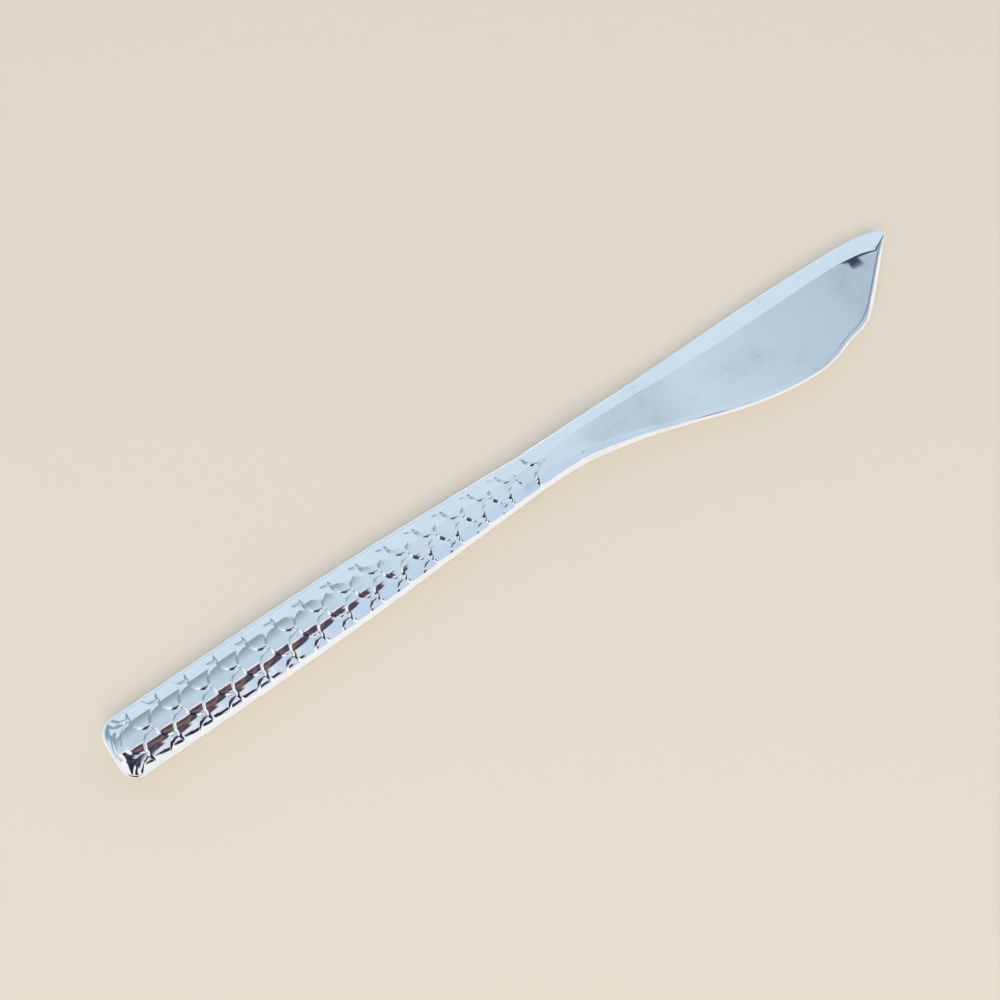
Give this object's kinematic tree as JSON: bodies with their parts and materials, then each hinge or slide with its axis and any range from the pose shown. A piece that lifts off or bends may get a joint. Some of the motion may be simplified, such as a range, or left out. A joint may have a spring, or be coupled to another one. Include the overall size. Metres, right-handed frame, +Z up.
{
  "type": "fish knife",
  "caption": "Monobloc steel fish knife: oval handle with overlapping fish scales, flat blade with a ground band, wavy belly and slanted pointed end.",
  "frame": {"origin": "centre of the bounding box in plan, on the plane that the handle's underside lies on", "axes": "+X along the knife from the butt to the tip, +Y towards the blade's straight edge, +Z up, square to the flat of the blade"},
  "size_m": [0.212, 0.0262, 0.007],
  "materials": {
    "polished_steel": "mirror-polished stainless steel over the scale relief",
    "polished_blade_steel": "mirror-polished stainless steel with faint polishing marks"
  },
  "bodies": {
    "root": {"handle": "polished_steel", "blade": "polished_blade_steel"}
  },
  "joints": []
}
